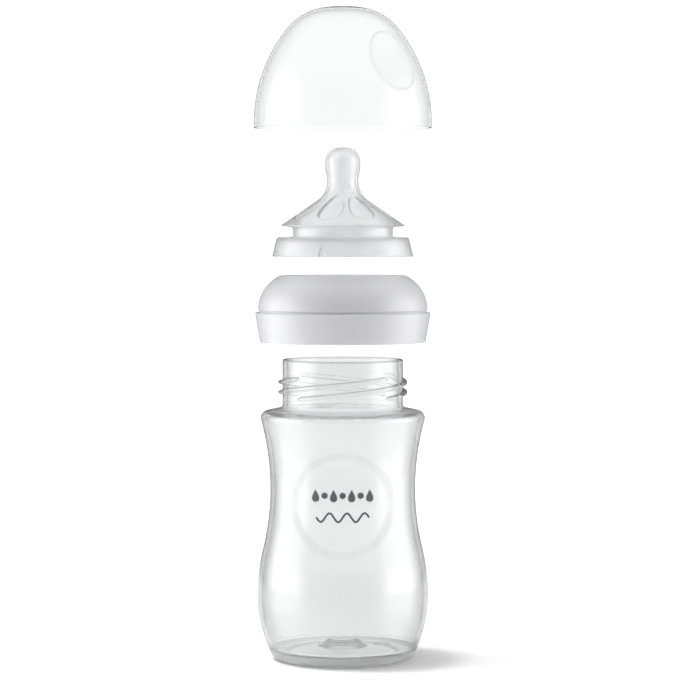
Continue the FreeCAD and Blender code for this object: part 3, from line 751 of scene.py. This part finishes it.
def object_height(tree):
    """Height of the point being shaded, in the object's own frame."""
    split = tree.nodes.new("ShaderNodeSeparateXYZ")
    tree.links.new(object_place(tree), split.inputs[0])
    return split.outputs["Z"]


def noise(tree, scale, detail=3.0):
    """The value of a noise texture in object space."""
    texture = tree.nodes.new("ShaderNodeTexNoise")
    texture.inputs["Scale"].default_value = scale
    texture.inputs["Detail"].default_value = detail
    texture.inputs["Roughness"].default_value = 0.5
    tree.links.new(object_place(tree), texture.inputs["Vector"])
    return texture.outputs["Fac"]


def stretched(tree, value, ends, low, high, kind="LINEAR"):
    """A value between two ends stretched to low and high, and held past the ends."""
    node = tree.nodes.new("ShaderNodeMapRange")
    node.interpolation_type = kind
    node.inputs["From Min"].default_value = ends[0]
    node.inputs["From Max"].default_value = ends[1]
    node.inputs["To Min"].default_value = low
    node.inputs["To Max"].default_value = high
    tree.links.new(value, node.inputs["Value"])
    return node.outputs["Result"]


def eased(tree, value, ends, high=1.0):
    """A soft rise from nothing at the first end to high at the second."""
    return stretched(tree, value, ends, 0.0, high, "SMOOTHSTEP")


def uneven(tree, scale, low, high):
    """A value that wanders between low and high."""
    return stretched(tree, noise(tree, scale), NOISE_SPREAD, low, high)


def math_node(tree, operation, *sources):
    """The result of a sum on numbers and node outputs."""
    node = tree.nodes.new("ShaderNodeMath")
    node.operation = operation
    for socket, source in zip(node.inputs, sources):
        if isinstance(source, (int, float)):
            socket.default_value = source
        else:
            tree.links.new(source, socket)
    return node.outputs[0]


def mixed(tree, share, first, second):
    """The shader that lies share of the way from first to second."""
    mix = tree.nodes.new("ShaderNodeMixShader")
    for socket, source in zip(mix.inputs, (share, first, second)):
        tree.links.new(source, socket)
    return mix.outputs[0]


def see_through(tree):
    return tree.nodes.new("ShaderNodeBsdfTransparent").outputs[0]


def between(tree, share, first, second):
    """The colour that lies share of the way from first to second."""
    mix = tree.nodes.new("ShaderNodeMix")
    mix.data_type = "RGBA"
    mix.inputs["A"].default_value = (*first, 1)
    mix.inputs["B"].default_value = (*second, 1)
    tree.links.new(share, mix.inputs["Factor"])
    return mix.outputs["Result"]


def add_bump(tree, shader, value, strength, distance):
    bump = tree.nodes.new("ShaderNodeBump")
    bump.inputs["Strength"].default_value = strength
    bump.inputs["Distance"].default_value = distance
    tree.links.new(value, bump.inputs["Height"])
    tree.links.new(bump.outputs["Normal"], shader.inputs["Normal"])


def painted_edge_shade(tree, edge):
    """Painted edge shade, darkening a surface's colour: none where it faces the eye, edge where it turns
    away.
    """
    layer = tree.nodes.new("ShaderNodeLayerWeight")
    layer.inputs["Blend"].default_value = 0.5
    turned_off = math_node(tree, "POWER", layer.outputs["Facing"], EDGE_SHADE_POWER)
    return math_node(tree, "MULTIPLY", turned_off, edge)


def foot_share(tree):
    """1 on the bottle's side at its foot, 0 above FOOT_FADE and on level faces."""
    geometry = tree.nodes.new("ShaderNodeNewGeometry")
    normal = tree.nodes.new("ShaderNodeSeparateXYZ")
    tree.links.new(geometry.outputs["Normal"], normal.inputs[0])
    level = math_node(tree, "ABSOLUTE", normal.outputs["Z"])
    upright = math_node(tree, "SUBTRACT", 1.0, math_node(tree, "POWER", level, 3.0))
    low = eased(tree, object_height(tree), (FOOT_FADE[0] * MM, FOOT_FADE[1] * MM))
    return math_node(tree, "MULTIPLY", low, upright)


def shadow_share(tree, passing, foot):
    """Share of a shadow ray that passes a moulding. A thick foot stops it."""
    is_shadow = tree.nodes.new("ShaderNodeLightPath").outputs["Is Shadow Ray"]
    if not foot:
        return math_node(tree, "MULTIPLY", is_shadow, passing)
    high = eased(tree, object_height(tree), (SHADOW_FADE[0] * MM, SHADOW_FADE[1] * MM), passing)
    return math_node(tree, "MULTIPLY", high, is_shadow)


def milk(tree, colour):
    """Light scattered half forwards and half back."""
    both = tree.nodes.new("ShaderNodeMixShader")
    both.inputs[0].default_value = 0.5
    for number, kind in enumerate(("Diffuse", "Translucent")):
        scatter = tree.nodes.new("ShaderNodeBsdf" + kind)
        tree.links.new(colour, scatter.inputs["Color"])
        tree.links.new(scatter.outputs[0], both.inputs[number + 1])
    return both.outputs[0]


def clear_moulding(name, bend, coat, rough, haze, depth, edge, passing, foot=False):
    """A clear moulding. It bends light a little, mirrors its surroundings in a gloss skin, greys what
    is seen through a long stretch of wall, bears painted shade at grazing edges (as dark as edge) and in
    its creases, and scatters a share of the light as a faint uneven haze. A thick foot has a denser haze."""
    material, tree, shader = new_material(name)
    # Painted shade: the mesh's crease shade and the edge shade darken the clear colour; the crease shade
    # darkens the haze too.
    crease_shade = tree.nodes.new("ShaderNodeAttribute")
    crease_shade.attribute_name = "shade"
    grey = math_node(tree, "ADD", painted_edge_shade(tree, edge), crease_shade.outputs["Fac"])
    clear = between(tree, math_node(tree, "MINIMUM", grey, 1.0), CLEAR_COLOUR, BLACK)
    tree.links.new(clear, shader.inputs["Base Color"])
    shader.inputs["Transmission Weight"].default_value = 1.0
    shader.inputs["IOR"].default_value = bend
    shader.inputs["Coat Weight"].default_value = coat
    shader.inputs["Coat Roughness"].default_value = 0.05
    tree.links.new(uneven(tree, 60.0, *rough), shader.inputs["Roughness"])
    add_bump(tree, shader, noise(tree, scale=30.0, detail=1.0), strength=0.03, distance=0.0004)
    veil = uneven(tree, 35.0, *haze)
    if foot:
        veil = math_node(tree, "MAXIMUM", veil, math_node(tree, "MULTIPLY", foot_share(tree), FOOT_HAZE))
    scattered = milk(tree, between(tree, crease_shade.outputs["Fac"], MILK_COLOUR, BLACK))
    plastic = mixed(tree, veil, shader.outputs[0], scattered)
    output = tree.nodes["Material Output"]
    surface = mixed(tree, shadow_share(tree, passing, foot), plastic, see_through(tree))
    tree.links.new(surface, output.inputs["Surface"])
    absorb = tree.nodes.new("ShaderNodeVolumeAbsorption")
    absorb.inputs["Color"].default_value = (*BLACK, 1)
    absorb.inputs["Density"].default_value = depth
    tree.links.new(absorb.outputs[0], output.inputs["Volume"])
    return material


def white_plastic():
    """Gloss white polypropylene with the fine grain of its mould."""
    material, tree, shader = new_material("white_polypropylene")
    shader.inputs["Base Color"].default_value = (0.86, 0.86, 0.90, 1)
    shader.inputs["Subsurface Weight"].default_value = 0.25
    shader.inputs["Subsurface Radius"].default_value = (0.002, 0.002, 0.0022)
    shader.inputs["Subsurface Scale"].default_value = 1.0
    shader.inputs["Coat Weight"].default_value = 0.35
    tree.links.new(uneven(tree, 900.0, 0.28, 0.36), shader.inputs["Roughness"])
    add_bump(tree, shader, noise(tree, scale=1800.0, detail=2.0), strength=0.08, distance=0.00005)
    return material


def ink():
    """Dark grey pad-printed ink."""
    material, tree, shader = new_material("dark_grey_ink")
    grain = noise(tree, 1500.0)
    colour = between(tree, grain, (0.135, 0.135, 0.14), (0.165, 0.165, 0.17))
    tree.links.new(colour, shader.inputs["Base Color"])
    tree.links.new(stretched(tree, grain, NOISE_SPREAD, 0.4, 0.55), shader.inputs["Roughness"])
    return material


def dress(piece, material):
    piece.data.materials.clear()
    piece.data.materials.append(material)


# ---------------------------------------------------------------- the pieces

body_plastic = clear_moulding(
    "clear_polypropylene",
    bend=1.08,
    coat=0.7,
    rough=(0.0, 0.03),
    haze=(0.08, 0.11),
    depth=19.0,
    edge=1.0,
    passing=0.9,
    foot=True,
)
cap_plastic = clear_moulding(
    "clear_cap_polypropylene",
    bend=1.03,
    coat=0.14,
    rough=(0.0, 0.03),
    haze=(0.02, 0.035),
    depth=4.0,
    edge=0.5,
    passing=0.9,
)
silicone = clear_moulding(
    "silicone",
    bend=1.25,
    coat=0.5,
    rough=(0.12, 0.18),
    haze=(0.25, 0.31),
    depth=18.0,
    edge=0.35,
    passing=0.75,
)
ring_plastic = white_plastic()

bottle = turned("bottle_body", bottle_outline(), 0.0, bottle_shape)
dress(bottle, body_plastic)
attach(bottle, "bottle")
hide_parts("bottle")

mark = print_mark()
dress(mark, ink())
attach(mark, "bottle")

teat = turned("silicone_teat", teat_outline(), TEAT_BASE, teat_shape)
dress(teat, silicone)
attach(teat, "teat")
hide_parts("teat")

cap = turned("clear_dome_cap", cap_outline(), CAP_BASE, cap_shape)
dress(cap, cap_plastic)
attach(cap, "dome_cap")
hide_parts("dome_cap")

for node in ("screw_ring", "ring_clamp_face"):
    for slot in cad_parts[node].material_slots:
        slot.material = ring_plastic


# ---------------------------------------------------------------- floor, light and camera

FLOOR_HALF = 6.0
FLOOR_DROP = 0.0001  # how far the floor lies below the bottle's foot
FLOOR_GLOW = 0.5  # what a camera's view of the floor gains past the table's edge
TABLE_EDGE = (0.6, 0.25)  # where the table starts and is whole
TABLE_ALBEDO, THROUGH_GAIN, CAMERA_GAIN = 0.7, 0.08, 0.15
THROUGH_SHRINK = 8.0  # how much smaller the table is for what is seen level through plastic
LEVEL_SIGHT = (0.3, 0.18)  # sines of the slopes between which a line of sight becomes level
UNDER_EDGE = (0.034, 0.024)  # reach of the painted glow that stands in for light gathering under the bottle
UNDER_GLOW = 1.1


def painted_under_glow(tree, reach, through):
    """A painted glow under the clear base, standing in for light gathered there, which shows only through
    plastic.
    """
    inside = eased(tree, reach, UNDER_EDGE)
    return math_node(tree, "MULTIPLY", math_node(tree, "MULTIPLY", inside, through), UNDER_GLOW)


def table_share(tree, reach, through):
    """1 on a round table with a soft edge, 0 past it. Seen level through plastic it is smaller, so
    the studio shows in the plastic down to its feet."""
    geometry = tree.nodes.new("ShaderNodeNewGeometry")
    incoming = tree.nodes.new("ShaderNodeSeparateXYZ")
    tree.links.new(geometry.outputs["Incoming"], incoming.inputs[0])
    level = stretched(tree, incoming.outputs["Z"], LEVEL_SIGHT, 0.0, 1.0)
    level_through = math_node(tree, "MULTIPLY", level, through)
    shrink = math_node(tree, "MULTIPLY_ADD", level_through, THROUGH_SHRINK, 1.0)
    return eased(tree, math_node(tree, "MULTIPLY", reach, shrink), TABLE_EDGE)


def pale_paper():
    """The floor's material. Only the camera sees the floor whole; light that comes off a piece finds
    the table and nothing past it."""
    material, tree, shader = new_material("pale_floor")
    shader.inputs["Roughness"].default_value = 0.6
    shader.inputs["Specular IOR Level"].default_value = 0.2
    shader.inputs["Emission Color"].default_value = (*WHITE, 1)
    path = tree.nodes.new("ShaderNodeLightPath")
    seen, through = path.outputs["Is Camera Ray"], path.outputs["Is Transmission Ray"]
    either = math_node(tree, "MAXIMUM", seen, through)
    albedo = math_node(tree, "MULTIPLY_ADD", either, THROUGH_GAIN, TABLE_ALBEDO)
    albedo = math_node(tree, "MULTIPLY_ADD", seen, CAMERA_GAIN, albedo)
    tree.links.new(albedo, shader.inputs["Base Color"])
    length = tree.nodes.new("ShaderNodeVectorMath")
    length.operation = "LENGTH"
    tree.links.new(object_place(tree), length.inputs[0])
    reach = length.outputs["Value"]
    table = table_share(tree, reach, through)
    far = math_node(tree, "MULTIPLY_ADD", table, -FLOOR_GLOW, FLOOR_GLOW)
    far_seen = math_node(tree, "MULTIPLY", seen, far)
    # The camera's even glow of the far floor, plus the painted glow under the bottle.
    glow = math_node(tree, "ADD", far_seen, painted_under_glow(tree, reach, through))
    tree.links.new(glow, shader.inputs["Emission Strength"])
    solid = math_node(tree, "MAXIMUM", seen, table)
    surface = mixed(tree, solid, see_through(tree), shader.outputs[0])
    tree.links.new(surface, tree.nodes["Material Output"].inputs["Surface"])
    return material


def make_floor():
    """A pale floor that reaches past every view."""
    ends = (-FLOOR_HALF, FLOOR_HALF)
    corners = [(ends[0], ends[0]), (ends[1], ends[0]), (ends[1], ends[1]), (ends[0], ends[1])]
    mesh = bpy.data.meshes.new("floor")
    mesh.from_pydata([(x, y, -FLOOR_DROP) for x, y in corners], [], [(0, 1, 2, 3)])
    ground = bpy.data.objects.new("floor", mesh)
    bpy.context.scene.collection.objects.link(ground)
    dress(ground, pale_paper())
    return ground


WALLS = 0.12  # light of the studio's walls
BACKGROUND = 1.1  # what the camera sees past everything
# Frame, direction, full angle, end angle and strength of each soft source, and whether mirrors show
# it. In the camera's frame a direction is (right, up, forward).
STUDIO = (
    ("Camera", (0, 0, 1), 14, 36, 0.88, False),
    ("Camera", (-1, 0, 0), 15, 42, 2.6, True),
    ("Camera", (1, 0, 0), 15, 42, 2.3, True),
    ("Generated", (0, 0, 1), 30, 60, 0.98, True),
)


def lobe(tree, direction, towards, inner, outer, strength):
    """Light that fills a soft-edged cone: full within inner degrees of a direction, none past outer."""
    dot = tree.nodes.new("ShaderNodeVectorMath")
    dot.operation = "DOT_PRODUCT"
    tree.links.new(direction, dot.inputs[0])
    dot.inputs[1].default_value = Vector(towards).normalized()
    ends = (math.cos(math.radians(outer)), math.cos(math.radians(inner)))
    return eased(tree, dot.outputs["Value"], ends, strength)


def make_world():
    """A soft white studio. A bright backdrop and a soft box on each side turn with the camera, with
    quieter walls between them that draw the edges of clear plastic. A wide soft box hangs overhead."""
    world = bpy.data.worlds.new("studio")
    bpy.context.scene.world = world
    world.use_nodes = True
    tree = world.node_tree
    place = tree.nodes.new("ShaderNodeTexCoord")
    path = tree.nodes.new("ShaderNodeLightPath")
    matt = math_node(tree, "SUBTRACT", 1.0, path.outputs["Is Glossy Ray"])
    unmirrored = math_node(tree, "MAXIMUM", matt, path.outputs["Is Transmission Ray"])
    total = WALLS
    for frame_name, towards, inner, outer, strength, mirrored in STUDIO:
        unit = tree.nodes.new("ShaderNodeVectorMath")
        unit.operation = "NORMALIZE"
        tree.links.new(place.outputs[frame_name], unit.inputs[0])
        box = lobe(tree, unit.outputs["Vector"], towards, inner, outer, strength)
        if not mirrored:
            box = math_node(tree, "MULTIPLY", box, unmirrored)
        total = math_node(tree, "ADD", box, total)
    white = math_node(tree, "MULTIPLY", path.outputs["Is Camera Ray"], BACKGROUND)
    background = tree.nodes["Background"]
    tree.links.new(math_node(tree, "MAXIMUM", total, white), background.inputs["Strength"])
    background.inputs["Color"].default_value = (*WHITE, 1)


def add_area(name, place, size, power):
    """A round soft lamp that points at the middle of the bottle's foot."""
    light = bpy.data.lights.new(name, "AREA")
    light.shape = "DISK"
    light.size = size
    light.energy = power
    lamp = bpy.data.objects.new(name, light)
    lamp.location = place
    lamp.rotation_mode = "QUATERNION"
    lamp.rotation_quaternion = (-Vector(place)).to_track_quat("-Z", "Y")
    lamp.visible_glossy = False
    bpy.context.scene.collection.objects.link(lamp)
    return lamp


def grouped(name, member):
    """A collection that holds one object and is in no scene."""
    group = bpy.data.collections.new(name)
    group.objects.link(member)
    return group


def link_light(lamp, lit, shading):
    """Lets a lamp light one object only and one object only throw its shadow."""
    lamp.light_linking.receiver_collection = grouped(f"{lamp.name}_receivers", lit)
    lamp.light_linking.blocker_collection = grouped(f"{lamp.name}_blockers", shading)


KEY_PLACE, KEY_SIZE, KEY_POWER = (-0.38, 0.05, 0.75), 0.4, 5.8
CAMERA_DISTANCE = 1.08
CAMERA_LENS = 138.0
EYE_HEIGHT = 0.172
AIM = Vector((0.0029, 0.0, 0.1247))


def make_camera():
    """A camera far in front with a long lens, a little above the middle of the row of pieces."""
    camera = bpy.data.cameras.new("camera")
    camera.lens = CAMERA_LENS
    camera.sensor_width = 36.0
    camera.clip_start = 0.05
    camera.clip_end = 50.0
    holder = bpy.data.objects.new("camera", camera)
    holder.location = (AIM.x, -CAMERA_DISTANCE, EYE_HEIGHT)
    holder.rotation_mode = "QUATERNION"
    holder.rotation_quaternion = (AIM - holder.location).to_track_quat("-Z", "Y")
    bpy.context.scene.collection.objects.link(holder)
    bpy.context.scene.camera = holder


floor = make_floor()
make_world()
key = add_area("key_light", KEY_PLACE, KEY_SIZE, KEY_POWER)
link_light(key, floor, bottle)
make_camera()
bpy.context.scene.view_settings.view_transform = "Standard"
